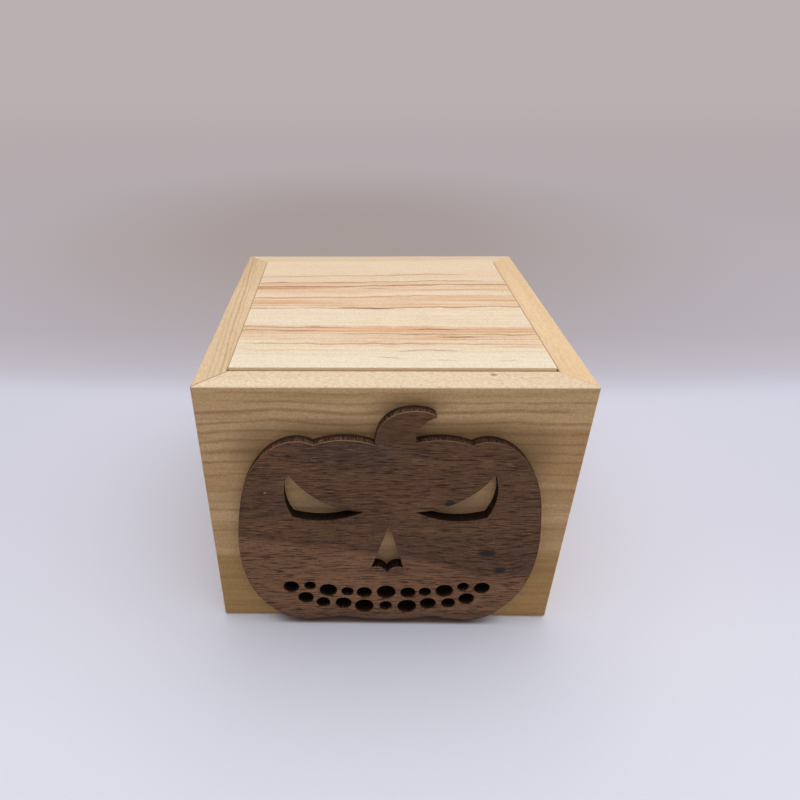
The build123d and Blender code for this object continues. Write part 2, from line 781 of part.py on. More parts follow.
with BuildPart() as latch_lever:
    with BuildSketch(latch_plane):
        with BuildLine():
            Polyline(
                (-12.7, 58.0),
                (-8.7, 58.0),
                (-8.7, 78.0),
                (-10.0, 82.0),
                (-10.0, 116.5),
                (-13.0, 116.5),
                (-17.5, 112.8),
                (-17.5, 111.0),
                (-15.0, 111.0),
                (-15.0, 82.0),
                close=True,
            )
        make_face()
        with Locations((latch_pivot_y, latch_pivot_z)):
            Circle(latch_hub_radius)
        with Locations((latch_pivot_y, latch_pivot_z)):
            Circle(latch_pin_radius + running_gap, mode=Mode.SUBTRACT)
    extrude(amount=latch_thick)
latch_lever.part.label = "latch_lever"
export_step(latch_lever.part, "parts/latch_lever.step")

with BuildPart() as latch_pivot:
    rod_along_x(
        latch_pin_radius,
        latch_pivot_y,
        latch_pivot_z,
        latch_x - pivot_head,
        frame_end_x + frame_end_plate - latch_x + pivot_head,
    )
    rod_along_x(
        pivot_head_radius,
        latch_pivot_y,
        latch_pivot_z,
        latch_x - pivot_gap - pivot_head,
        pivot_head,
    )
    rod_along_x(
        pivot_washer_radius,
        latch_pivot_y,
        latch_pivot_z,
        latch_x + latch_thick + pivot_gap,
        pivot_washer,
    )
latch_pivot.part.label = "latch_pivot"
export_step(latch_pivot.part, "parts/latch_pivot.step")

with BuildPart() as latch_spring:
    with BuildSketch(Plane.YZ.offset(latch_x + (latch_thick - latch_spring_width) / 2)):
        with BuildLine():
            Polyline(
                (3.5, 83.0),
                (4.0, 83.0),
                (4.0, 92.2),
                (-9.6, 101.3),
                (-9.9, 100.9),
                (3.5, 91.9),
                close=True,
            )
        make_face()
    extrude(amount=latch_spring_width)
latch_spring.part.label = "latch_spring"
export_step(latch_spring.part, "parts/latch_spring.step")

# --- the jack -----------------------------------------------------------------------------------
spring_low = base_disc_top + spring_wire + 0.1
spring_high = cap_disc_low - spring_wire - 0.1
spring_pitch = (spring_high - spring_low) / spring_turns
clip_reach = spring_wire + 0.15
clip_leg = 0.9
clip_top = 0.6
clip_width = 4.0
clip_turns = [1 / 12, 5 / 12, 9 / 12]


def disc(radius, low, high):
    with BuildSketch(Plane.XY.offset(low)) as section:
        with Locations((jack_x, 0)):
            Circle(radius)
    extrude(section.sketch, amount=high - low)


def spring_clip(turn, seat, wire_z):
    """A saddle over the wire at a part of a turn, standing on the disc face at height seat."""
    away = 1 if wire_z > seat else -1
    far = wire_z + away * (clip_reach + clip_top)
    angle = 360 * turn
    tangent = Vector(-sin(radians(angle)), cos(radians(angle)), 0)
    outward = Vector(cos(radians(angle)), sin(radians(angle)), 0)
    start = Vector(jack_x, 0, 0) + outward * spring_radius - tangent * (clip_width / 2)
    section = Plane(origin=start, x_dir=outward, z_dir=tangent)
    up = section.y_dir.Z
    with BuildSketch(section) as saddle:
        with Locations((0, up * (seat + far) / 2)):
            Rectangle(2 * (clip_reach + clip_leg), abs(far - seat))
        with Locations((0, up * (seat + far - away * clip_top) / 2)):
            Rectangle(2 * clip_reach, abs(far - away * clip_top - seat), mode=Mode.SUBTRACT)
    extrude(saddle.sketch, amount=clip_width)


with BuildPart() as spring_base:
    disc(base_disc_radius, panel_thick, base_disc_top)
    with Locations((jack_x, 0, panel_thick)):
        with PolarLocations(base_screw_circle, 3, 90):
            Cylinder(base_screw_radius, base_disc_top - panel_thick, align=standing, mode=Mode.SUBTRACT)
spring_base.part.label = "spring_base"
export_step(spring_base.part, "parts/spring_base.step")

with BuildPart() as base_screws:
    with Locations((jack_x, 0, base_disc_top)):
        with PolarLocations(base_screw_circle, 3, 90):
            Cylinder(base_screw_radius, base_disc_top - base_screw_tip, align=hanging)
            Cylinder(base_screw_head_radius, base_screw_head, align=standing)
base_screws.part.label = "base_screws"
export_step(base_screws.part, "parts/base_screws.step")

with BuildPart() as base_clips:
    for turn in clip_turns:
        spring_clip(turn, base_disc_top, spring_low + spring_pitch * turn)
base_clips.part.label = "base_clips"
export_step(base_clips.part, "parts/base_clips.step")

with BuildPart() as jack_spring:
    with BuildLine():
        coil = Helix(spring_pitch, spring_high - spring_low, spring_radius, center=(jack_x, 0, spring_low))
    with BuildSketch(Plane(origin=coil @ 0, z_dir=coil % 0)):
        Circle(spring_wire)
    sweep(path=coil, is_frenet=True)
jack_spring.part.label = "jack_spring"
export_step(jack_spring.part, "parts/jack_spring.step")

# The cloth sleeve is a ring that holds its folds. Its hems lie round the base and round the cap.
with BuildPart() as jack_sleeve:
    disc(sleeve_outer, sleeve_low, sleeve_high)
    for radius, low, high in [
        (base_disc_radius + hem_gap, sleeve_low, base_disc_top + fold_gap),
        (fold_inner, base_disc_top + fold_gap, cap_disc_low - fold_gap),
        (cap_disc_radius + hem_gap, cap_disc_low - fold_gap, sleeve_high),
    ]:
        with Locations((jack_x, 0, low)):
            Cylinder(radius, high - low, align=standing, mode=Mode.SUBTRACT)
jack_sleeve.part.label = "jack_sleeve"
export_step(jack_sleeve.part, "parts/jack_sleeve.step")

with BuildPart() as spring_cap:
    disc(cap_disc_radius, cap_disc_low, cap_disc_top)
    with Locations((jack_x, 0, cap_disc_low)):
        Cylinder(neck_radius, 2 * (cap_disc_top - cap_disc_low), mode=Mode.SUBTRACT)
spring_cap.part.label = "spring_cap"
export_step(spring_cap.part, "parts/spring_cap.step")

with BuildPart() as cap_clips:
    for turn in clip_turns:
        spring_clip(-turn, cap_disc_low, spring_high - spring_pitch * turn)
cap_clips.part.label = "cap_clips"
export_step(cap_clips.part, "parts/cap_clips.step")

with BuildPart() as neck_dowel:
    disc(neck_radius, cap_disc_low, neck_top)
neck_dowel.part.label = "neck_dowel"
export_step(neck_dowel.part, "parts/neck_dowel.step")

with BuildPart() as jack_collar:
    disc(collar_radius, collar_low, collar_high)
    with Locations((jack_x, 0, (collar_low + collar_high) / 2)):
        Cylinder(neck_radius + collar_gap, collar_high - collar_low, mode=Mode.SUBTRACT)
    fillet(jack_collar.edges().group_by(Axis.Z)[0].sort_by(SortBy.LENGTH)[-1], collar_round)
    fillet(jack_collar.edges().group_by(Axis.Z)[-1].sort_by(SortBy.LENGTH)[-1], collar_round)
jack_collar.part.label = "jack_collar"
export_step(jack_collar.part, "parts/jack_collar.step")

# The head is a turned ball, flatter than it is wide, bored for the neck and for the stem's peg.
stem_foot = head_centre + head_half_height - 2.0
stem_radius = 5.0
stem_top_radius = 3.4
stem_top_round = 0.9

with BuildPart() as jack_head:
    with BuildSketch(Plane.XZ):
        with Locations((jack_x, head_centre)):
            Ellipse(head_radius, head_half_height)
        with Locations((jack_x - head_radius, head_centre)):
            Rectangle(2 * head_radius, 2 * head_radius, mode=Mode.SUBTRACT)
    revolve(axis=Axis((jack_x, 0, 0), (0, 0, 1)))
    with Locations((jack_x, 0, neck_top)):
        Cylinder(neck_radius, head_half_height, align=hanging, mode=Mode.SUBTRACT)
    with Locations((jack_x, 0, stem_foot)):
        Cylinder(stem_radius, head_half_height, align=standing, mode=Mode.SUBTRACT)
jack_head.part.label = "jack_head"
export_step(jack_head.part, "parts/jack_head.step")

with BuildPart() as head_stem:
    with BuildSketch(Plane.XY.offset(stem_foot)):
        with Locations((jack_x, 0)):
            Circle(stem_radius)
    with BuildSketch(Plane.XY.offset(stem_top - 1)):
        with Locations((jack_x, 0)):
            Circle(stem_top_radius)
    loft()
    fillet(head_stem.faces().sort_by(Axis.Z)[-1].edges(), stem_top_round)
head_stem.part.label = "head_stem"
export_step(head_stem.part, "parts/head_stem.step")
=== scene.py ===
import math

import bpy
from mathutils import Euler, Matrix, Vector


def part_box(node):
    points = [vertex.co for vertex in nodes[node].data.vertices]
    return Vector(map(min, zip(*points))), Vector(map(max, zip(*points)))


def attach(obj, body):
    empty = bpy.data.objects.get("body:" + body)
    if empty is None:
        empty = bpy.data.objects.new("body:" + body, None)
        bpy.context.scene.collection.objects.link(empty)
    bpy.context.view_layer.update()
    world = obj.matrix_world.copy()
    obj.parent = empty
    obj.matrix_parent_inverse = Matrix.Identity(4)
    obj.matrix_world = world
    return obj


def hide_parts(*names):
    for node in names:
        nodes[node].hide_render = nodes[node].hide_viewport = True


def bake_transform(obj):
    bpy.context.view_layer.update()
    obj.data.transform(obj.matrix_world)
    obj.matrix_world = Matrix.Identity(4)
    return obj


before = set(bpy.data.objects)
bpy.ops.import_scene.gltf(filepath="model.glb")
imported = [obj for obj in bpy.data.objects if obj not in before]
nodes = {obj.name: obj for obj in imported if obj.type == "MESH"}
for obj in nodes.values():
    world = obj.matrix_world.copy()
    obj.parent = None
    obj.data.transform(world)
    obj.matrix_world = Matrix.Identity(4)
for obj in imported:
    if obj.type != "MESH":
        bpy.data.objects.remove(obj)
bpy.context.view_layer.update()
MM = 0.001
FINISH_DATUM = 1.3  # the heights in the finishes are measured from this one, in millimetres

# The places that the pieces are built on, in millimetres, read from the frame.
HEAD_LOW, HEAD_HIGH = (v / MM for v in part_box("jack_head"))
JACK_X = (HEAD_LOW.x + HEAD_HIGH.x) / 2
HEAD_RADIUS = (HEAD_HIGH.x - HEAD_LOW.x) / 2
FACE_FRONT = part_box("pumpkin_face")[0].y / MM
FACE_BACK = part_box("pumpkin_face")[1].y / MM
LID_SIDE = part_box("lid_panel")[1].x / MM


# --- the camera, the light and the floor ----------------------------------------------------------
def look():
    """The camera stands in front of the box, above it, and looks down at it."""
    data = bpy.data.cameras.new("camera")
    data.sensor_width = 36
    data.lens = 26.92
    data.shift_x = 0.0713
    data.shift_y = -0.0091
    data.clip_start = 0.01
    camera = bpy.data.objects.new("camera", data)
    camera.location = (-0.01613, -0.27819, 0.24897)
    camera.rotation_euler = Euler([math.radians(a) for a in (59.07, 0.343, 0.861)])
    bpy.context.scene.collection.objects.link(camera)
    bpy.context.scene.camera = camera


def softbox(name, place, aim, size, watts, colour):
    data = bpy.data.lights.new(name, "AREA")
    data.shape = "SQUARE"
    data.size = size
    data.energy = watts
    data.color = colour
    lamp = bpy.data.objects.new(name, data)
    lamp.location = place
    lamp.rotation_euler = (Vector(aim) - Vector(place)).to_track_quat("-Z", "Y").to_euler()
    bpy.context.scene.collection.objects.link(lamp)


def light():
    world = bpy.data.worlds.new("studio")
    world.use_nodes = True
    background = world.node_tree.nodes["Background"]
    background.inputs["Color"].default_value = (1.0, 0.98, 1.0, 1)
    background.inputs["Strength"].default_value = 0.27
    bpy.context.scene.world = world
    bpy.context.scene.view_settings.view_transform = "Standard"
    softbox("overhead", (0.15, -0.12, 1.5), (0, 0, 0), 2.2, 23.5, (1.0, 0.985, 0.97))


# --- materials --------------------------------------------------------------------------------
class Finish:
    """A material under construction. Its coordinates are the piece's own, in millimetres."""

    def __init__(self, name, roughness=0.6, metallic=0.0, gloss=0.3):
        self.material = bpy.data.materials.new(name)
        self.material.use_nodes = True
        self.tree = self.material.node_tree
        self.shader = self.tree.nodes["Principled BSDF"]
        self.shader.inputs["Roughness"].default_value = roughness
        self.shader.inputs["Metallic"].default_value = metallic
        self.shader.inputs["Specular IOR Level"].default_value = 0.5 if metallic else gloss
        coordinates = self.node("ShaderNodeTexCoord")
        own = self.vector("MULTIPLY", coordinates.outputs["Object"], (1000, 1000, 1000))
        self.point = self.vector("SUBTRACT", own, (0, 0, FINISH_DATUM))
        split = self.node("ShaderNodeSeparateXYZ", {0: self.point})
        self.x, self.y, self.z = split.outputs

    def node(self, kind, inputs=None, **settings):
        made = self.tree.nodes.new(kind)
        for key, value in settings.items():
            setattr(made, key, value)
        for key, value in (inputs or {}).items():
            self.feed(made.inputs[key], value)
        return made

    def feed(self, socket, value):
        if isinstance(value, bpy.types.NodeSocket):
            self.tree.links.new(value, socket)
        elif value is not None:
            socket.default_value = value

    def vector(self, operation, a, b):
        return self.node("ShaderNodeVectorMath", {0: a, 1: b}, operation=operation).outputs[0]

    def math(self, operation, a, b=None, c=None, clamp=False):
        inputs = {0: a, 1: b, 2: c}
        made = self.node("ShaderNodeMath", inputs, operation=operation, use_clamp=clamp)
        return made.outputs[0]

    def noise(self, scale, detail=2.0, roughness=0.5, distortion=0.0, offset=(0, 0, 0)):
        """Noise over the piece, with features 1 / scale millimetres long on each axis."""
        moved = self.vector("ADD", self.vector("MULTIPLY", self.point, scale), offset)
        inputs = {
            "Vector": moved,
            "Scale": 1.0,
            "Detail": detail,
            "Roughness": roughness,
            "Distortion": distortion,
        }
        return self.node("ShaderNodeTexNoise", inputs).outputs["Fac"]

    def span(self, value, low, high, to_low=0.0, to_high=1.0):
        """value as it goes from low to high, as a smooth step from to_low to to_high."""
        inputs = {0: value, 1: low, 2: high, 3: to_low, 4: to_high}
        made = self.node("ShaderNodeMapRange", inputs, interpolation_type="SMOOTHSTEP")
        return made.outputs[0]

    def ramp(self, value, stops):
        """A value or colour ramp over 0 to 1. A stop is (place, grey) or (place, (r, g, b))."""
        made = self.node("ShaderNodeValToRGB", {0: value})
        ramp = made.color_ramp
        while len(ramp.elements) < len(stops):
            ramp.elements.new(1.0)
        for element, (place, colour) in zip(ramp.elements, stops):
            element.position = place
            rgb = colour if isinstance(colour, tuple) else (colour,) * 3
            element.color = (*rgb, 1)
        return made.outputs[0]

    def mix(self, share, a, b, blend="MIX"):
        """Colour a, going to colour b, or to a and b blended, by share."""
        made = self.node("ShaderNodeMix", data_type="RGBA", blend_type=blend)
        colours = [(*c, 1) if isinstance(c, tuple) else c for c in (a, b)]
        self.feed(made.inputs[0], share)
        self.feed(made.inputs[6], colours[0])
        self.feed(made.inputs[7], colours[1])
        return made.outputs[2]

    def spot(self, centre, radii, edge=0.6):
        """1 inside an ellipsoid and 0 outside it, soft between."""
        moved = self.vector("SUBTRACT", self.point, centre)
        scaled = self.vector("DIVIDE", moved, radii)
        length = self.node("ShaderNodeVectorMath", {0: scaled}, operation="LENGTH").outputs[1]
        return self.span(length, 1 - edge, 1 + edge, 1.0, 0.0)

    def streak(self, place, centre, width, left=-200, right=200, strength=1.0):
        """A thin line where place is at centre, from x = left to x = right."""
        away = self.math("ABSOLUTE", self.math("SUBTRACT", place, centre))
        line = self.span(away, width * 0.2, width, strength, 0.0)
        if left > -200:
            line = self.math("MULTIPLY", line, self.span(self.x, left - 6, left + 6))
        if right < 200:
            line = self.math("MULTIPLY", line, self.span(self.x, right - 6, right + 6, 1.0, 0.0))
        return line

    def total(self, values):
        """The sum of some values, held between 0 and 1."""
        result = values[0]
        for value in values[1:]:
            result = self.math("ADD", result, value)
        return self.math("MULTIPLY", result, 1.0, clamp=True)

    def facing(self, axis):
        """How far the surface faces along an axis of the piece, from 0 to 1."""
        normal = self.node("ShaderNodeTexCoord").outputs["Normal"]
        split = self.node("ShaderNodeSeparateXYZ", {0: normal})
        return self.math("ABSOLUTE", split.outputs[axis])

    def bump(self, height, millimetres, strength=1.0):
        inputs = {"Height": height, "Distance": millimetres * MM, "Strength": strength}
        made = self.node("ShaderNodeBump", inputs)
        self.feed(self.shader.inputs["Normal"], made.outputs[0])

    def done(self, colour, roughness=None):
        if isinstance(colour, tuple):
            colour = (*colour, 1)
        self.feed(self.shader.inputs["Base Color"], colour)
        self.feed(self.shader.inputs["Roughness"], roughness)
        return self.material


def grain_scale(along, length, width):
    """Noise scale for fibres that lie along an axis: length and width in millimetres."""
    return tuple(1 / length if axis == along else 1 / width for axis in "XYZ")


def front_wall_finish():
    """The front board: pale on its top edge, tan on its face, and golden low down."""
    f = Finish("front_poplar", gloss=0.2)
    wobble = f.math("MULTIPLY", f.math("SUBTRACT", f.noise((0.016, 0.02, 0.03), 3, 0.5), 0.5), 9.0)
    level = f.math("ADD", f.z, wobble)
    broad = f.noise((0.007, 0.07, 0.075), 3, 0.55, 0.5, (4, 1, 2))
    lines = f.noise((0.011, 0.5, 0.42), 4, 0.62, 0.5, (2, 7, 3))
    fibres = f.noise((0.16, 1.6, 1.9), 3, 0.72)
    # the face's tones are darker than those of the top edge: partly the board's own tone, partly
    # painted shade
    colour = f.mix(f.span(broad, 0.36, 0.64), (0.605, 0.400, 0.195), (0.490, 0.293, 0.125))
    # each grain line: its height, width, left end, right end and strength
    grain_lines = [
        (127.6, 0.8, -70, 20, 0.35),
        (123.2, 0.9, -60, 200, 0.4),
        (119.0, 1.3, -200, 70, 0.55),
        (113.8, 1.0, -200, 200, 0.5),
        (109.2, 1.1, -200, 200, 0.45),
        (104.3, 1.0, -200, 200, 0.5),
        (99.6, 1.2, -200, 200, 0.4),
        (95.0, 0.8, -200, 200, 0.5),
        (88.5, 1.1, -200, 200, 0.35),
        (80.0, 1.4, -200, 200, 0.35),
        (69.0, 1.0, -200, 200, 0.35),
        (57.0, 1.3, -200, 200, 0.35),
        (16.0, 0.8, -200, 200, 0.3),
    ]
    grain = f.total([f.streak(level, *line) for line in grain_lines])
    grain = f.math("MULTIPLY", grain, f.span(fibres, 0.3, 0.6, 0.45, 1.15))
    colour = f.mix(f.math("MULTIPLY", grain, 1.1, clamp=True), colour, (0.29, 0.155, 0.062))
    colour = f.mix(f.span(lines, 0.5, 0.66, 0.0, 0.38), colour, (0.37, 0.21, 0.088))
    low = f.math("ADD", level, f.math("MULTIPLY", f.math("ABSOLUTE", f.x), -0.05))
    golden = f.mix(f.span(lines, 0.4, 0.65), (0.43, 0.255, 0.090), (0.36, 0.205, 0.064))
    colour = f.mix(f.span(low, 34, 43, 0.95, 0.0), colour, golden)
    colour = f.mix(f.span(fibres, 0.5, 0.74, 0.0, 0.3), colour, (0.27, 0.15, 0.058))
    colour = sanded(f, colour, 0.5)
    # painted shade: the face is darkened just above the plate's outline, where the plate shades it
    # from light bouncing up off the floor
    shade_above_plate = f.total(
        [
            f.spot((-24, -79, 111), (30, 30, 5.0), 0.7),
            f.spot((27, -79, 111), (26, 30, 5.0), 0.7),
            f.spot((6, -79, 122.5), (13, 30, 4.5), 0.7),
            f.spot((-56, -79, 100), (9, 30, 9), 0.8),
            f.spot((57, -79, 100), (9, 30, 9), 0.8),
        ]
    )
    colour = f.mix(f.math("MULTIPLY", shade_above_plate, 0.5), colour, (0.17, 0.09, 0.035))
    # painted shade: the face is darkened where it shows through the plate's eyes and nose
    behind = f.total(
        [
            f.spot((-25, -79, 72.5), (17, 30, 6.5), 0.5),
            f.spot((25, -79, 72.5), (17, 30, 6.5), 0.5),
            f.spot((0, -79, 39), (8, 30, 8), 0.5),
        ]
    )
    colour = f.mix(f.math("MULTIPLY", behind, 0.6), colour, (0.19, 0.115, 0.060))
    # the top edge
    specks = f.noise((0.42, 0.8, 0.8), 3, 0.7, 0.3, (5, 5, 5))
    top = f.mix(f.span(broad, 0.35, 0.65), (0.885, 0.725, 0.525), (0.845, 0.665, 0.455))
    top = f.mix(f.span(specks, 0.52, 0.68, 0.0, 0.42), top, (0.66, 0.45, 0.27))
    top = sanded(f, top, 0.5, (0.9, 1.4, 1.4))
    speck = f.spot((40, -69.3, 131), (1.3, 0.8, 2), 0.5)
    top = f.mix(f.math("MULTIPLY", speck, 0.7), top, (0.24, 0.10, 0.05))
    colour = f.mix(f.span(f.facing(2), 0.35, 0.75), colour, mitre_lines(f, top))
    # the mouth's bores are scorched
    across = f.math("ABSOLUTE", f.x)
    bored = f.math("MULTIPLY", f.span(f.z, 6.2, 6.8), f.span(f.z, 29, 30, 1.0, 0.0))
    bored = f.math("MULTIPLY", bored, f.span(across, 49, 50, 1.0, 0.0))
    bored = f.math("MULTIPLY", bored, f.span(f.facing(1), 0.5, 0.7, 1.0, 0.0))
    colour = f.mix(bored, colour, (0.02, 0.012, 0.008))
    f.bump(f.math("ADD", fibres, f.math("MULTIPLY", lines, 0.7)), 0.07, 0.5)
    return f.done(colour)


def sanded(f, colour, share, scale=(1.15, 1.15, 1.15)):
    """The fine even speckle of a sanded board."""
    grit = f.noise(scale, 2, 0.75, 0.0, (31, 17, 23))
    darker = f.mix(1.0, colour, (0.78, 0.74, 0.70), "MULTIPLY")
    paler = f.mix(1.0, colour, (1.13, 1.13, 1.14), "MULTIPLY")
    return f.mix(share, colour, f.mix(f.span(grit, 0.36, 0.64), darker, paler))


def mitre_lines(f, colour):
    """The glue line of each mitre, along the box's diagonals."""
    diagonal = f.math("SUBTRACT", f.math("ABSOLUTE", f.x), f.math("ABSOLUTE", f.y))
    glue = f.span(f.math("ABSOLUTE", diagonal), 0.12, 0.5, 0.75, 0.0)
    strength = f.math("MULTIPLY", f.span(f.x, -60, 0, 1.0, 0.35), f.span(f.y, -60, 20, 1.0, 0.5))
    return f.mix(f.math("MULTIPLY", glue, strength), colour, (0.18, 0.085, 0.035))


def side_wall_finish(name, pale, tan, dark, seed, line_share, far_shade):
    """A side board, its grain along Y and a little slantwise on its top edge."""
    f = Finish(name)
    shift = (seed, seed * 2, seed * 3)
    slant = f.math("ADD", f.x, f.math("MULTIPLY", f.y, 0.05))
    sway = f.noise((0.05, 0.02, 0.05), 2, 0.5, 0.0, shift)
    waver = f.math("MULTIPLY", f.math("SUBTRACT", sway, 0.5), 3.0)
    slant = f.math("ADD", slant, waver)
    broad = f.noise((0.07, 0.008, 0.07), 3, 0.55, 0.5, shift)
    lines = f.noise((0.55, 0.011, 0.42), 4, 0.62, 0.5, shift)
    fibres = f.noise((1.8, 0.16, 1.8), 3, 0.72, 0.0, shift)
    colour = f.mix(f.span(broad, 0.36, 0.64), pale, tan)
    colour = f.mix(f.span(lines, 0.5, 0.66, 0.0, line_share), colour, dark)
    # each mark on the top edge: its place across the box, its width and its strength
    mark_lines = [
        (-77.2, 0.6, 0.5),
        (-75.0, 0.5, 0.7),
        (-72.6, 0.7, 1.0),
        (-70.6, 0.4, 0.7),
        (76.3, 0.5, 0.4),
    ]
    marks = [f.streak(slant, place, width, strength=share) for place, width, share in mark_lines]
    up = f.span(f.facing(2), 0.35, 0.75)
    colour = f.mix(f.span(f.y, 0, 75, 0.0, far_shade), colour, dark)
    marks = f.math("MULTIPLY", f.total(marks), f.math("MULTIPLY", up, 0.6))
    colour = f.mix(f.math("MULTIPLY", marks, f.span(fibres, 0.25, 0.6, 0.4, 1.1)), colour, dark)
    colour = f.mix(f.span(fibres, 0.5, 0.74, 0.0, 0.3), colour, dark)
    colour = sanded(f, colour, 0.3, (1.7, 0.3, 1.7))
    colour = f.mix(up, colour, mitre_lines(f, colour))
    beside_lid = f.math("SUBTRACT", f.math("ABSOLUTE", f.x), LID_SIDE)
    in_front = f.span(f.y, 66, 68, 1.0, 0.0)
    shade = f.math("MULTIPLY", f.span(beside_lid, 1.15, 1.75, 0.75, 0.0), in_front)
    colour = f.mix(shade, colour, (0.20, 0.10, 0.04))
    f.bump(f.math("ADD", fibres, f.math("MULTIPLY", lines, 0.7)), 0.06, 0.5)
    return f.done(colour)


def back_wall_finish():
    f = Finish("back_poplar")
    broad = f.noise((0.007, 0.07, 0.075), 3, 0.55, 0.5, (14, 11, 12))
    lines = f.noise((0.011, 0.5, 0.42), 4, 0.62, 0.5, (12, 17, 13))
    fibres = f.noise((0.16, 1.6, 1.9), 3, 0.72)
    colour = f.mix(f.span(broad, 0.36, 0.64), (0.87, 0.71, 0.51), (0.80, 0.62, 0.41))
    colour = f.mix(f.span(lines, 0.5, 0.66, 0.0, 0.4), colour, (0.52, 0.33, 0.17))
    colour = f.mix(f.span(fibres, 0.5, 0.74, 0.0, 0.2), colour, (0.40, 0.24, 0.11))
    colour = f.mix(f.span(f.facing(2), 0.35, 0.75), colour, mitre_lines(f, colour))
    f.bump(f.math("ADD", fibres, f.math("MULTIPLY", lines, 0.7)), 0.06, 0.5)
    return f.done(colour)


def lid_finish():
    """A streaked board. Its streaks run along X and dip a little towards the left."""
    f = Finish("lid_poplar")
    level = f.math("ADD", f.math("MULTIPLY", f.y, 1.013), 3.6)
    tilt = f.math("MULTIPLY", f.span(f.x, -15, 35, 1.0, 0.0), f.span(level, -22, -6, 0.0, 2.0))
    leftwards = f.math("MINIMUM", f.math("SUBTRACT", f.x, 20), 0)
    dip = f.math("POWER", f.math("DIVIDE", leftwards, 80), 2.0)
    dipped = f.math("ADD", tilt, f.math("MULTIPLY", dip, f.span(level, -30, 32, -1.0, 1.5)))
    wobble = f.math("MULTIPLY", f.math("SUBTRACT", f.noise((0.045, 0.035, 0.0), 3, 0.6), 0.5), 6.0)
    level = f.math("ADD", f.math("ADD", level, dipped), wobble)
    fine = f.noise((0.013, 1.25, 0.4), 4, 0.62, 0.0, (1, 5, 0))
    hair = f.noise((0.03, 2.6, 0.8), 3, 0.65, 0.0, (6, 2, 0))
    along = f.noise((0.03, 0.12, 0.0), 3, 0.6, 0.0, (3, 8, 0))

    def band(low, high, edge, strength):
        rise = f.span(level, low - edge, low + edge, 0.0, strength)
        return f.math("MULTIPLY", rise, f.span(level, high - edge, high + edge, 1.0, 0.0))

    salmon = f.total(
        [
            band(0.0, 16.4, 0.8, 0.5),
            band(-29.5, -23.6, 1.4, 0.85),
            band(-38.0, -29.0, 1.6, 0.5),
            f.math("MULTIPLY", band(-44.5, -37.0, 1.2, 0.3), f.span(f.x, -40, -10)),
            band(29.8, 36.6, 1.0, 0.45),
            band(20.0, 30.0, 4.0, 0.42),
            f.streak(level, 22.8, 1.6, 5, 200, 0.4),
            f.math("MULTIPLY", band(26.0, 31.5, 1.6, 0.8), f.span(f.x, -48, -15, 1.0, 0.0)),
            f.math("MULTIPLY", band(5.5, 11.0, 1.8, 0.45), f.span(f.x, -52, -34, 1.0, 0.0)),
            band(40.0, 50.0, 5.0, 0.2),
            f.streak(level, 14.6, 1.1, -200, 200, 0.45),
            f.streak(level, 8.0, 1.4, 33, 200, 0.5),
            f.streak(level, -41.8, 1.2, -34, 60, 0.4),
            f.streak(level, -48.2, 1.4, -66, -20, 0.35),
        ]
    )
    salmon = f.math("MULTIPLY", salmon, f.span(fine, 0.34, 0.64, 0.25, 1.75))
    salmon = f.math("MULTIPLY", salmon, f.span(along, 0.3, 0.62, 0.75, 1.1), clamp=True)
    # each brown line: its place from the front, width, left end, right end and strength
    brown_lines = [
        (46.6, 0.8, -200, 45, 0.45),
        (36.4, 0.75, -66, 52, 0.75),
        (30.6, 0.85, -200, 200, 0.9),
        (28.2, 0.9, -200, -42, 0.6),
        (26.6, 0.8, -11, 2, 0.6),
        (0.0, 0.8, -200, 200, 0.55),
        (-0.2, 1.2, -20, 0, 0.7),
        (14.9, 0.6, -66, 20, 0.3),
        (-25.2, 0.8, -200, -20, 0.5),
        (-26.6, 0.9, 12, 32, 0.7),
        (-28.8, 0.6, -200, -30, 0.5),
        (-31.9, 0.7, -20, 70, 0.6),
        (-34.4, 0.9, 24, 40, 0.8),
        (-36.9, 0.5, -40, 60, 0.2),
        (-42.2, 0.6, -60, 46, 0.5),
        (-44.2, 0.5, 46, 60, 0.4),
        (-48.3, 0.55, 4, 28, 0.6),
        (-54.8, 0.6, -3, 3, 0.6),
        (-56.8, 0.7, 20, 24, 0.35),
        (-57.4, 0.7, 46, 50, 0.35),
    ]
    brown = f.total([f.streak(level, *line) for line in brown_lines])
    brown = f.math("MULTIPLY", brown, f.span(along, 0.3, 0.6, 0.55, 1.15))
    brown = f.math("MULTIPLY", brown, f.span(hair, 0.3, 0.55, 0.65, 1.35), clamp=True)
    cream = f.mix(f.span(fine, 0.38, 0.64), (0.94, 0.815, 0.62), (0.87, 0.70, 0.475))
    cream = f.mix(f.span(level, 12, 45, 0.0, 0.7), cream, (0.885, 0.69, 0.485))
    cream = f.mix(f.span(level, -58, -48, 0.6, 0.0), cream, (0.94, 0.86, 0.70))
    colour = f.mix(salmon, cream, (0.77, 0.455, 0.245))
    colour = f.mix(f.math("MULTIPLY", brown, 1.0), colour, (0.37, 0.18, 0.085))
    colour = f.mix(f.span(hair, 0.5, 0.72, 0.0, 0.25), colour, (0.62, 0.40, 0.22))
    colour = sanded(f, colour, 0.35)
    edge = f.span(f.facing(1), 0.4, 0.8)
    colour = f.mix(f.math("MULTIPLY", edge, 0.75), colour, (0.80, 0.55, 0.29))
    sawn_end = f.span(f.facing(0), 0.4, 0.8)
    colour = f.mix(f.math("MULTIPLY", sawn_end, 0.6), colour, (0.45, 0.25, 0.11))
    f.bump(f.math("ADD", hair, fine), 0.04, 0.5)
    return f.done(colour)


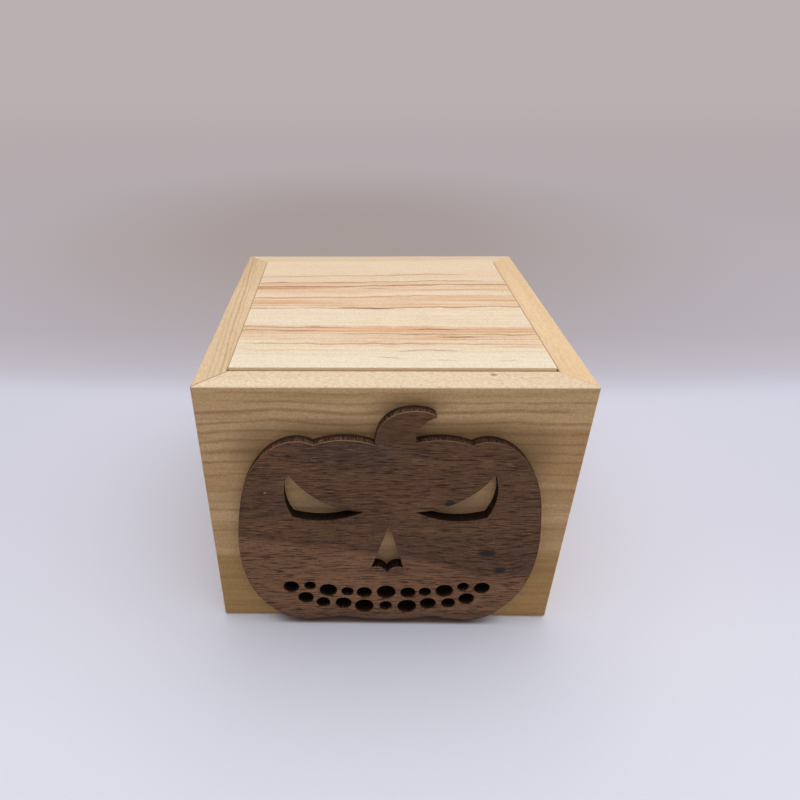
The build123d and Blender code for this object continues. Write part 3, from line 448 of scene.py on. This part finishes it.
def walnut_finish():
    """Dark walnut, its pores short dashes along X. The cut edges are scorched."""
    f = Finish("walnut", gloss=0.12)
    waver = f.math("MULTIPLY", f.math("SUBTRACT", f.noise((0.04, 0.02, 0.06), 3), 0.5), 12)
    # the grain parts round the knots, so the height that the figure follows is bent near them
    lift = f.total(
        [
            f.math("MULTIPLY", f.spot((44.5, FACE_FRONT, 47.5), (15, 60, 8), 0.9), 0.5),
            f.math("MULTIPLY", f.spot((51.5, FACE_FRONT, 37.0), (11, 60, 6), 0.9), 0.5),
        ]
    )
    bent = f.node("ShaderNodeCombineXYZ", {2: f.math("MULTIPLY", lift, 5.0)}).outputs[0]
    flat_point = f.point
    f.point = f.vector("ADD", flat_point, bent)
    zone = f.math("ADD", f.math("ADD", f.math("MULTIPLY", f.x, 0.20), f.z), waver)
    lower = f.span(zone, 42, 47, 1.0, 0.0)
    upper_left = f.span(f.math("ADD", f.math("MULTIPLY", f.x, 0.42), f.z), 88, 96)
    upper_left = f.math("MULTIPLY", upper_left, f.span(f.x, -8, 10, 1.0, 0.0))
    left_lobe = f.spot((-22, FACE_FRONT, 103), (16, 40, 7), 0.5)
    upper_left = f.math("ADD", upper_left, left_lobe, clamp=True)
    foot = f.span(f.z, 6.5, 9.5, 1.0, 0.0)
    cloud = f.noise((0.022, 0.02, 0.045), 3, 0.55, 0.8, (2, 0, 6))
    plain = f.mix(f.span(cloud, 0.4, 0.62), (0.160, 0.080, 0.040), (0.124, 0.064, 0.034))
    purple = (0.092, 0.055, 0.039)
    red = f.mix(f.span(cloud, 0.35, 0.65), (0.268, 0.136, 0.069), (0.218, 0.110, 0.057))
    colour = f.mix(f.math("MULTIPLY", upper_left, 0.8), plain, purple)
    colour = f.mix(lower, colour, red)
    colour = f.mix(f.math("MULTIPLY", foot, 0.6), colour, (0.115, 0.068, 0.046))
    line = f.streak(zone, 47.2, 1.6, -200, 60, 0.5)
    colour = f.mix(line, colour, (0.075, 0.040, 0.026))
    rings = f.noise((0.012, 0.02, 0.28), 4, 0.6, 1.0, (7, 0, 1))
    colour = f.mix(f.span(rings, 0.5, 0.68, 0.0, 0.4), colour, (0.080, 0.042, 0.025))
    pores = f.noise((0.15, 0.4, 1.95), 3, 0.58, 0.2)
    dashes = f.span(pores, 0.52, 0.60)
    colour = f.mix(f.math("MULTIPLY", dashes, 0.8), colour, (0.032, 0.015, 0.009))
    flecks = f.span(f.noise((0.14, 0.5, 3.0), 2, 0.6, 0.0, (5, 5, 5)), 0.55, 0.66)
    colour = f.mix(f.math("MULTIPLY", flecks, 0.5), colour, (0.35, 0.195, 0.108))
    colour = sanded(f, colour, 0.5)
    f.point = flat_point
    stem = f.math("MULTIPLY", f.span(f.z, 107, 109), f.span(f.x, -14, -8))
    colour = f.mix(f.math("MULTIPLY", stem, 0.35), colour, (0.105, 0.046, 0.018))
    # each knot: its place across and up, its half-width and its half-height
    knots = [(44.5, 47.5, 4.0, 2.1), (51.5, 37.0, 2.7, 1.9), (25.5, 76.6, 2.3, 1.6)]
    for x, z, wide, high in knots:
        knot = f.spot((x, FACE_FRONT, z), (wide, 40, high), 0.38)
        colour = f.mix(f.math("MULTIPLY", knot, 0.95), colour, (0.030, 0.022, 0.021))
    speckle = f.spot((-53, FACE_FRONT, 82), (0.6, 10, 0.6), 0.5)
    colour = f.mix(f.math("MULTIPLY", speckle, 0.35), colour, (0.55, 0.40, 0.30))
    # soot under the lower edges of the eyes and of the nose
    comb = f.span(f.noise((1.6, 0.1, 0.3), 3, 0.7, 0.0, (1, 1, 1)), 0.4, 0.62)
    soot = f.total(
        [
            f.spot((-27.5, FACE_FRONT, 67.0), (15, 9, 2.6), 0.4),
            f.spot((27.5, FACE_FRONT, 67.0), (15, 9, 2.6), 0.4),
            f.spot((0, FACE_FRONT, 36.8), (8, 9, 2.2), 0.6),
        ]
    )
    soot = f.math("MULTIPLY", f.math("MULTIPLY", soot, comb), 0.5)
    colour = f.mix(soot, colour, (0.04, 0.02, 0.012))
    edge = f.span(f.facing(1), 0.3, 0.5, 1.0, 0.0)
    striped = f.noise((1.9, 0.3, 1.9), 3, 0.75)
    near_face = f.span(f.y, FACE_FRONT, FACE_BACK, 1.0, 0.0)
    outer = f.total(
        [
            f.span(f.math("ABSOLUTE", f.x), 48, 50),
            f.span(f.z, 97, 99),
            f.span(f.z, 5.5, 6.5, 1.0, 0.0),
        ]
    )
    # painted light and shade over the scorch: the outline's outer cut faces are painted paler than
    # the cut faces inside the openings, and paler on the left than on the right
    lit_left_outline = f.math("MULTIPLY", outer, f.span(f.x, -10, 30, 1.0, 0.6))
    pale_char = f.mix(lit_left_outline, (0.035, 0.019, 0.012), (0.24, 0.130, 0.078))
    shallow = f.span(near_face, 0.05, 0.8, 0.12, 1.0)
    hatched = f.math("MULTIPLY", f.span(striped, 0.42, 0.66), shallow)
    dark_char = f.mix(lit_left_outline, (0.010, 0.005, 0.003), (0.030, 0.016, 0.010))
    char = f.mix(hatched, dark_char, pale_char)
    # painted highlight: a pale broken line along the front edge of the cut faces, strongest on the
    # left, where the edge would catch the light
    arris_highlight = f.span(f.y, FACE_FRONT + 0.35, FACE_FRONT + 0.7, 1.0, 0.0)
    arris_highlight = f.math("MULTIPLY", arris_highlight, f.span(f.z, 62, 92))
    arris_highlight = f.math("MULTIPLY", arris_highlight, f.span(f.x, -20, 60, 1.0, 0.55))
    arris_highlight = f.math("MULTIPLY", arris_highlight, f.span(striped, 0.3, 0.62, 1.0, 0.3))
    char = f.mix(arris_highlight, char, (0.44, 0.26, 0.14))
    # the mouth's holes are painted paler brown just inside their rims: partly scorch, partly a
    # painted highlight on their walls
    beside = f.span(f.math("ABSOLUTE", f.x), 48, 50, 1.0, 0.0)
    in_mouth = f.math("MULTIPLY", f.span(f.z, 30, 32, 1.0, 0.0), beside)
    in_mouth = f.math("MULTIPLY", in_mouth, f.span(f.z, 6.0, 7.0))
    rim = f.math("MULTIPLY", in_mouth, f.span(f.y, FACE_FRONT + 0.3, FACE_FRONT + 2.0, 1.0, 0.0))
    char = f.mix(f.math("MULTIPLY", rim, f.span(striped, 0.38, 0.6)), char, (0.12, 0.06, 0.035))
    colour = f.mix(edge, colour, char)
    height = f.math("SUBTRACT", 1.0, dashes)
    f.bump(f.math("ADD", height, f.math("MULTIPLY", rings, 0.5)), 0.08, 0.6)
    return f.done(colour, f.span(pores, 0.3, 0.7, 0.6, 0.8))


def turned_wood(name, pale, dark, width=1.6):
    """Bare turned or sawn wood with fine even grain along Z."""
    f = Finish(name, 0.6)
    rings = f.noise(grain_scale("Z", 60, width * 2.5), 3, 0.6, 0.5)
    fibres = f.noise(grain_scale("Z", 6, width / 3), 3, 0.7)
    colour = f.mix(f.span(rings, 0.35, 0.65), pale, dark)
    colour = f.mix(f.span(fibres, 0.55, 0.75, 0.0, 0.35), colour, tuple(c * 0.5 for c in dark))
    f.bump(fibres, 0.03, 0.5)
    return f.done(colour)


def metal(name, colour, roughness, brushed=(0.3, 6.0, 6.0)):
    f = Finish(name, roughness, 1.0)
    scratches = f.noise(brushed, 3, 0.6)
    stains = f.noise((0.12, 0.12, 0.12), 3)
    tone = f.mix(f.span(stains, 0.35, 0.7, 0.0, 0.5), colour, tuple(c * 0.72 for c in colour))
    f.bump(scratches, 0.01, 0.4)
    return f.done(tone, f.span(scratches, 0.3, 0.7, roughness - 0.08, roughness + 0.12))


def cloth(name, colour, light_colour, threads=2.2):
    """A plain weave, a little paler on its high threads."""
    f = Finish(name, 0.85)
    over = f.math("SINE", f.math("MULTIPLY", f.math("ADD", f.x, f.y), math.tau * threads / 2))
    under = f.math("SINE", f.math("MULTIPLY", f.z, math.tau * threads))
    weave = f.math("MULTIPLY", over, under)
    worn = f.noise((0.25, 0.25, 0.25), 3)
    tone = f.mix(f.span(worn, 0.35, 0.7), colour, light_colour)
    high_thread = tuple(min(1, c * 1.8) for c in light_colour)
    tone = f.mix(f.span(weave, -1, 1, 0.0, 0.25), tone, high_thread)
    f.shader.inputs["Sheen Weight"].default_value = 0.4
    f.bump(weave, 0.08, 0.6)
    return f.done(tone)


def paint(name, colour, shade, roughness=0.38):
    """Brushed paint on wood, thicker in some strokes than in others."""
    f = Finish(name, roughness)
    strokes = f.noise((0.5, 0.5, 0.09), 4, 0.6)
    patches = f.noise((0.08, 0.08, 0.08), 2)
    tone = f.mix(f.span(patches, 0.3, 0.7), colour, shade)
    tone = f.mix(f.span(strokes, 0.5, 0.75, 0.0, 0.35), tone, shade)
    f.bump(strokes, 0.05, 0.5)
    return f.done(tone, f.span(strokes, 0.3, 0.7, roughness, roughness + 0.15))


def plywood_finish():
    f = Finish("plywood", 0.65)
    broad = f.noise((0.012, 0.09, 0.09), 3, 0.6, 1.4)
    fibres = f.noise((0.09, 2.0, 2.0), 3, 0.7)
    colour = f.mix(f.span(broad, 0.35, 0.65), (0.72, 0.54, 0.34), (0.60, 0.42, 0.24))
    colour = f.mix(f.span(fibres, 0.55, 0.75, 0.0, 0.4), colour, (0.36, 0.22, 0.11))
    f.bump(fibres, 0.05, 0.5)
    return f.done(colour)


def dress(material, *names):
    for name in names:
        nodes[name].data.materials.clear()
        nodes[name].data.materials.append(material)


def dress_frame():
    """Every CAD node that stays in view gets its finish."""
    dress(front_wall_finish(), "front_wall")
    dress(back_wall_finish(), "back_wall")
    left_tones = ((0.84, 0.64, 0.40), (0.77, 0.57, 0.345), (0.50, 0.32, 0.17))
    right_tones = ((0.92, 0.69, 0.42), (0.87, 0.62, 0.36), (0.60, 0.38, 0.19))
    left = side_wall_finish("left_poplar", *left_tones, seed=5.0, line_share=0.2, far_shade=0.2)
    right = side_wall_finish("right_poplar", *right_tones, seed=8.0, line_share=0.12, far_shade=0.25)
    dress(left, "left_wall")
    dress(right, "right_wall")
    dress(lid_finish(), "lid_panel")
    dress(walnut_finish(), "pumpkin_face")
    dress(plywood_finish(), "bottom_panel")
    beech = turned_wood("beech", (0.76, 0.56, 0.36), (0.64, 0.44, 0.26))
    dress(beech, "lid_ledge", "spring_base", "spring_cap", "neck_dowel")
    dress(turned_wood("knob_walnut", (0.20, 0.10, 0.06), (0.11, 0.055, 0.035)), "crank_knob")
    brass = metal("brass", (0.78, 0.56, 0.24), 0.3)
    dress(brass, "hinge_pins", "crank_bush", "movement_frame", "drum_cylinder", "drum_gear")
    dress(brass, "crank_pinion", "trip_cam")
    steel = metal("steel", (0.62, 0.61, 0.60), 0.32)
    dress(steel, "bottom_screws", "movement_screws", "comb", "comb_screws")
    dress(steel, "crank_shaft", "crank_arm")
    dress(steel, "crank_screw", "knob_spindle", "latch_lever", "latch_pivot", "latch_spring")
    dress(steel, "lid_catch", "catch_screws", "base_screws", "base_clips")
    dress(steel, "cap_clips", "drum_arbor")
    return steel


# --- pieces built here ---------------------------------------------------------------------------
def mesh_piece(name, points, faces, material, smooth=True):
    """A mesh from points in millimetres."""
    data = bpy.data.meshes.new(name)
    data.from_pydata([Vector(p) * MM for p in points], [], faces)
    data.update()
    made = bpy.data.objects.new(name, data)
    bpy.context.scene.collection.objects.link(made)
    data.materials.append(material)
    for polygon in data.polygons:
        polygon.use_smooth = smooth
    return made


def strip_faces(rows, columns, closed):
    """Quads between rows of points, each row columns long, joined end to end if closed."""
    faces = []
    for r in range(rows - 1):
        for c in range(columns if closed else columns - 1):
            d = (c + 1) % columns
            low, high = r * columns, (r + 1) * columns
            faces.append((low + c, low + d, high + d, high + c))
    return faces


def thicken(piece, thickness):
    """Give a sheet its thickness, in millimetres, half to each side, in its mesh."""
    solid = piece.modifiers.new("thickness", "SOLIDIFY")
    solid.thickness = thickness * MM
    solid.offset = 0
    apply_modifiers(piece)


def apply_modifiers(piece):
    graph = bpy.context.evaluated_depsgraph_get()
    graph.update()
    baked = bpy.data.meshes.new_from_object(piece.evaluated_get(graph))
    piece.modifiers.clear()
    piece.data = baked


# --- the jack's head ------------------------------------------------------------------------------
RIBS = 10
HEAD_TALL = 27.5
HEAD_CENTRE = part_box("jack_head")[1].z / MM - HEAD_TALL


def head_point(azimuth, latitude, lift=0.0):
    """A point of the ribbed head. Azimuth 0 faces the front, and both angles are in radians."""
    rib = abs(math.sin(RIBS * azimuth / 2 + math.pi / 2)) ** 0.55
    flat = math.cos(latitude)
    radius = (HEAD_RADIUS - 0.1) * (0.88 + 0.12 * rib) * flat + lift * flat
    dimple = 1 - 0.2 * math.exp(-((flat / 0.3) ** 2))
    height = (HEAD_TALL - 0.1 + lift) * math.sin(latitude) * dimple
    return (JACK_X + radius * math.sin(azimuth), -radius * math.cos(azimuth), HEAD_CENTRE + height)


def make_head(material):
    rows, columns = 49, 240
    points = []
    for r in range(rows):
        latitude = -math.pi / 2 * 0.985 + math.pi * 0.985 * r / (rows - 1)
        points += [head_point(math.tau * c / columns, latitude) for c in range(columns)]
    faces = strip_faces(rows, columns, True)
    faces.append(tuple(reversed(range(columns))))
    faces.append(tuple(range((rows - 1) * columns, rows * columns)))
    head = mesh_piece("pumpkin_head", points, faces, material)
    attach(head, "jack")
    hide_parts("jack_head")


def inlay(name, start, end, low, high, material, columns=24, rows=8):
    """A thin black shape let into the head's front, between two heights over a span of azimuth."""
    sides = []
    for lift in (0.35, -0.8):
        for r in range(rows + 1):
            for c in range(columns + 1):
                u = c / columns
                azimuth = start + (end - start) * u
                height = low(u) + (high(u) - low(u)) * r / rows
                latitude = math.asin(max(-1, min(1, height / HEAD_TALL)))
                sides.append(head_point(azimuth, latitude, lift))
    count = (rows + 1) * (columns + 1)
    front = strip_faces(rows + 1, columns + 1, False)
    back = [tuple(reversed([i + count for i in face])) for face in front]
    rim = [c for c in range(columns + 1)]
    rim += [(r + 1) * (columns + 1) - 1 for r in range(1, rows + 1)]
    rim += [rows * (columns + 1) + c for c in reversed(range(columns))]
    rim += [r * (columns + 1) for r in reversed(range(1, rows))]
    sides_faces = []
    for i, a in enumerate(rim):
        b = rim[(i + 1) % len(rim)]
        sides_faces.append((a, a + count, b + count, b))
    made = mesh_piece(name, sides, front + back + sides_faces, material, smooth=False)
    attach(made, "jack")


def make_face(material):
    """Two slanted eyes, a nose and a toothed grin."""
    for side, name in ((-1, "left"), (1, "right")):
        near, far = side * 0.16, side * 0.62

        def eye_low(u):
            return 2.0 + 1.2 * math.sin(math.pi * u)

        def eye_high(u):
            return 2.6 + 9.5 * u ** 1.3

        inlay("jack_eye_" + name, near, far, eye_low, eye_high, material)

    def nose_high(u):
        return -3.0 + 4.5 * (1 - abs(2 * u - 1))

    inlay("jack_nose", -0.10, 0.10, lambda u: -3.5, nose_high, material)

    def smile(u):
        return 6.0 * (2 * u - 1) ** 2

    def tooth(u):
        return 1.6 if (u * 7) % 1 > 0.55 else 0.0

    def grin_low(u):
        return -15.0 + smile(u)

    def grin_high(u):
        bow = math.sin(math.pi * u)
        return -14.5 + smile(u) + 4.8 * bow ** 0.6 - tooth(u) * bow

    inlay("jack_grin", -0.72, 0.72, grin_low, grin_high, material, columns=84)


def make_stem(material):
    """A ribbed stem that narrows and leans a little towards its cut top."""
    low, high = (v.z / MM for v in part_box("head_stem"))
    rows, columns = 14, 60
    points = []
    for r in range(rows):
        t = r / (rows - 1)
        radius = 4.8 - 2.2 * t + 0.5 * max(0, t - 0.8) / 0.2
        for c in range(columns):
            angle = math.tau * c / columns
            ribbed = radius * (1 + 0.09 * math.cos(6 * angle))
            x = JACK_X + ribbed * math.cos(angle) + 1.2 * t * t
            points.append((x, ribbed * math.sin(angle), low + (high - low - 0.2) * t))
    faces = strip_faces(rows, columns, True)
    faces.append(tuple(reversed(range(columns))))
    faces.append(tuple(range((rows - 1) * columns, rows * columns)))
    stem = mesh_piece("jack_stem", points, faces, material)
    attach(stem, "jack")
    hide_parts("head_stem")


def make_collar(material):
    """A felt ruff, gathered round the neck into pleats that open towards its edge."""
    low, high = (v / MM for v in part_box("jack_collar"))
    outer = (high.x - low.x) / 2
    middle = (high.z + low.z) / 2
    wave = (high.z - low.z) / 2 - 0.6
    pleats, rows, columns = 16, 10, 320
    points = []
    for r in range(rows):
        t = r / (rows - 1)
        for c in range(columns):
            angle = math.tau * c / columns
            reach = 6.2 + (outer - 6.6) * t * (1 - 0.03 * (1 + math.cos(2 * pleats * angle)) / 2)
            lift = wave * math.sin(pleats * angle) * (0.35 + 0.65 * t)
            x, y = JACK_X + reach * math.cos(angle), reach * math.sin(angle)
            points.append((x, y, middle + lift))
    collar = mesh_piece("jack_ruff", points, strip_faces(rows, columns, True), material)
    thicken(collar, 0.7)
    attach(collar, "jack")
    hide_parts("jack_collar")


def make_sleeve(material):
    """The pleated sleeve between the base and the cap, folded small while the box is shut."""
    low, high = (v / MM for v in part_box("jack_sleeve"))
    outer = (high.x - low.x) / 2 - 0.5
    inner = 23.5
    band = 26.8
    folds, per_fold, columns = 13, 8, 144
    hem_low, hem_high = low.z + 5.0, high.z - 3.0
    profile = [(band, low.z + 0.3), (band, low.z + 2.5), (band, hem_low)]
    for i in range(1, folds * per_fold):
        t = i / (folds * per_fold)
        swing = (1 - math.cos(math.tau * folds * t)) / 2
        profile.append((inner + (outer - inner) * swing, hem_low + (hem_high - hem_low) * t))
    profile += [(band - 1.0, hem_high), (band - 1.0, high.z - 0.3)]
    points = []
    for radius, height in profile:
        for c in range(columns):
            angle = math.tau * c / columns
            puckered = radius + 0.25 * math.cos(24 * angle)
            points.append((JACK_X + puckered * math.cos(angle), puckered * math.sin(angle), height))
    faces = strip_faces(len(profile), columns, True)
    sleeve = mesh_piece("bellows_sleeve", points, faces, material)
    thicken(sleeve, 0.4)
    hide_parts("jack_sleeve")
    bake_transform(sleeve)


def make_spring(material):
    low, high = (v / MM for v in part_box("jack_spring"))
    wire = 0.78
    turns, per_turn, around = 12, 48, 10
    radius = (high.x - low.x) / 2 - 0.8
    bottom, top = low.z + wire + 0.05, high.z - wire - 0.05
    steps = turns * per_turn
    points = []
    for i in range(steps + 1):
        angle = math.tau * i / per_turn
        height = bottom + (top - bottom) * i / steps
        for j in range(around):
            a = math.tau * j / around
            reach = radius + wire * math.cos(a)
            x, y = JACK_X + reach * math.cos(angle), reach * math.sin(angle)
            points.append((x, y, height + wire * math.sin(a)))
    faces = strip_faces(steps + 1, around, True)
    faces.append(tuple(reversed(range(around))))
    faces.append(tuple(range(steps * around, (steps + 1) * around)))
    spring = mesh_piece("coil_spring", points, faces, material)
    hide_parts("jack_spring")
    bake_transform(spring)


# --- the stage ------------------------------------------------------------------------------------
def make_floor():
    """Pale paper. Past a soft line behind the box it glows with painted tones instead of taking
    light, a painted light that stands in for a lit wall far off.
    """
    f = Finish("paper", 0.9)
    f.shader.inputs["Specular IOR Level"].default_value = 0.0
    glow_tones = [
        (0.0, (0.66, 0.665, 0.765)),
        (0.04, (0.645, 0.645, 0.75)),
        (0.052, (0.62, 0.61, 0.71)),
        (0.065, (0.575, 0.56, 0.65)),
        (0.08, (0.55, 0.53, 0.605)),
        (0.10, (0.53, 0.50, 0.565)),
        (0.15, (0.49, 0.455, 0.505)),
        (0.20, (0.485, 0.447, 0.495)),
        (0.40, (0.47, 0.425, 0.452)),
        (0.70, (0.45, 0.403, 0.425)),
        (1.0, (0.46, 0.405, 0.42)),
    ]
    far = f.ramp(
        f.node("ShaderNodeMapRange", {0: f.y, 1: 100.0, 2: 1100.0}).outputs[0],
        glow_tones,
    )
    far = f.mix(f.span(f.y, 900, 3000), far, (0.495, 0.43, 0.44))
    # painted shadow: a broad darker patch in the far tone behind the box
    dim = f.spot((-20, 560, 0), (330, 330, 900), 0.85)
    far = f.mix(f.math("MULTIPLY", dim, 0.8), far, (0.37, 0.305, 0.285))
    share = f.span(f.y, 118, 152)
    speckle = f.noise((0.8, 0.8, 0.8), 3)
    # painted light: the near floor is paler in front of the box than beside and behind it
    near = f.mix(f.span(f.y, -180, 20, 1.0, 0.0), (0.735, 0.75, 0.855), (0.82, 0.85, 0.955))
    near = f.mix(f.span(speckle, 0.3, 0.7, 0.0, 0.03), near, (0.4, 0.4, 0.45))
    # painted shadow: the floor is darkened, dark and warm, in the narrow gap under the plate's
    # overhang
    shadow_under_plate = f.span(f.y, FACE_FRONT - 0.2, FACE_FRONT + 2.0)
    shadow_under_plate = f.math("MULTIPLY", shadow_under_plate, f.span(f.math("ABSOLUTE", f.x), 36, 60, 1.0, 0.0))
    near = f.mix(f.math("MULTIPLY", shadow_under_plate, 0.95), near, (0.22, 0.14, 0.11))
    f.bump(speckle, 0.02, 0.3)
    # painted light: beyond the line the floor and the far wall glow with the far tones instead of
    # taking light
    f.feed(f.shader.inputs["Emission Color"], f.mix(share, (0.0, 0.0, 0.0), far))
    f.shader.inputs["Emission Strength"].default_value = 1.0
    paper = f.done(f.mix(share, near, (0.0, 0.0, 0.0)))
    wide = 4000
    corners = [(-wide, -wide, 0), (wide, -wide, 0), (wide, wide, 0), (-wide, wide, 0)]
    floor = mesh_piece("floor", corners, [(0, 1, 2, 3)], paper)
    sides = 64
    ring = [
        (wide * math.cos(math.tau * i / sides), wide * math.sin(math.tau * i / sides), height)
        for height in (-10, 2600)
        for i in range(sides)
    ]
    wall = mesh_piece("far_wall", ring, strip_faces(2, sides, True), paper)


look()
light()
make_floor()
steel = dress_frame()
black = paint("black_paint", (0.012, 0.010, 0.010), (0.03, 0.025, 0.02), 0.5)
make_head(paint("orange_paint", (0.80, 0.26, 0.03), (0.62, 0.17, 0.02)))
make_face(black)
make_stem(paint("stem_paint", (0.16, 0.20, 0.05), (0.10, 0.12, 0.035), 0.55))
make_collar(cloth("green_felt", (0.04, 0.16, 0.06), (0.06, 0.22, 0.08)))
make_sleeve(cloth("purple_cotton", (0.10, 0.03, 0.14), (0.15, 0.05, 0.20)))
make_spring(steel)
